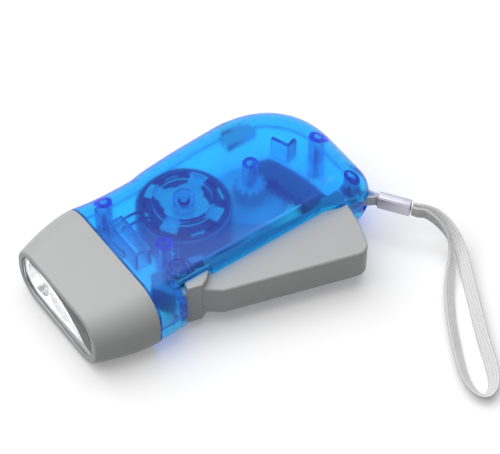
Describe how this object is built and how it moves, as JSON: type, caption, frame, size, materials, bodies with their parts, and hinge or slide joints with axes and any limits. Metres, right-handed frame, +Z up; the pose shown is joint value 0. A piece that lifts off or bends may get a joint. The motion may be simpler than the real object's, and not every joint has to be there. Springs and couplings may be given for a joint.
{
  "type": "hand-squeezed dynamo torch",
  "caption": "Pocket torch with a sprung squeeze lever that drives a geared flywheel dynamo, a lamp head, a slide switch and a wrist strap.",
  "frame": {"origin": "on the flat underside, on the lamp's centre line, half way along the body", "axes": "+X from the lamp to the strap end, +Y away from the lever, +Z up from the side it lies on"},
  "size_m": [0.118, 0.1232, 0.0244],
  "materials": {
    "clear_blue": "clear tinted, glossy",
    "grey_abs": "satin",
    "clear_lens": "clear, glossy",
    "reflector": "metallised, bright",
    "lamp_epoxy": "clear epoxy, glossy",
    "board": "lacquered board",
    "steel": "plain",
    "zinc": "bright plated",
    "flywheel": "dark",
    "ferrite": "matt",
    "copper": "lacquered winding",
    "nylon": "satin",
    "black_plastic": "satin",
    "red_wire": "satin",
    "braid": "woven, white"
  },
  "bodies": {
    "housing": {"upper_shell": "clear_blue", "lower_shell": "clear_blue", "head_bezel": "grey_abs", "lens_window": "clear_lens", "reflector_tray": "reflector", "lamp_near": "lamp_epoxy", "lamp_middle": "lamp_epoxy", "lamp_far": "lamp_epoxy", "lamp_board": "board", "rectifier": "black_plastic", "charge_cell": "steel", "lever_pin": "steel", "return_spring": "steel", "second_gear_pin": "steel", "stator_top_plate": "zinc", "stator_bottom_plate": "zinc", "coil_bobbin": "black_plastic", "coil_winding": "copper", "screw_front_far": "steel", "screw_front_near": "steel", "screw_tail_far": "steel", "screw_tail_near": "steel", "switch_body": "black_plastic", "coil_wire_a": "red_wire", "coil_wire_b": "black_plastic", "strap_eye": "braid", "strap_ferrule": "zinc", "wrist_strap": "braid"},
    "lever": {"squeeze_lever": "grey_abs"},
    "first_gear_set": {"rack_pinion": "nylon", "first_gear": "nylon", "first_gear_shaft": "steel"},
    "second_gear_set": {"second_gear": "nylon"},
    "rotor": {"rotor_pinion": "nylon", "flywheel_cup": "flywheel", "magnet_ring": "ferrite", "rotor_shaft": "steel"},
    "slider": {"switch_slider": "black_plastic"}
  },
  "joints": [
    {"name": "lever_squeeze", "type": "hinge", "parent": "housing", "child": "lever", "pos_m": [-0.0181, -0.0146, 0.0122], "axis": [0, 0, 1], "range_deg": [0, 14], "stiffness_Nm_per_rad": 0.3, "springref_deg": -20.05, "deforming": ["return_spring"]},
    {"name": "first_gear_spin", "type": "hinge", "parent": "housing", "child": "first_gear_set", "pos_m": [0.02255, 0.0047, 0.0085], "axis": [0, 0, 1], "range_deg": [0, 154]},
    {"name": "second_gear_spin", "type": "hinge", "parent": "housing", "child": "second_gear_set", "pos_m": [0.01019, -0.0038, 0.0042], "axis": [0, 0, 1], "range_deg": [-616, 0]},
    {"name": "rotor_spin", "type": "hinge", "parent": "housing", "child": "rotor", "pos_m": [-0.0015, 0.0056, 0.011], "axis": [0, 0, 1], "range_deg": [0, 2464]},
    {"name": "switch_slide", "type": "slide", "parent": "housing", "child": "slider", "axis": [1, 0, 0], "range_m": [0, 0.003]}
  ],
  "couplings": [
    {"joint": "first_gear_spin", "follows": "lever_squeeze", "ratio": 11},
    {"joint": "second_gear_spin", "follows": "lever_squeeze", "ratio": -44},
    {"joint": "rotor_spin", "follows": "lever_squeeze", "ratio": 176}
  ]
}
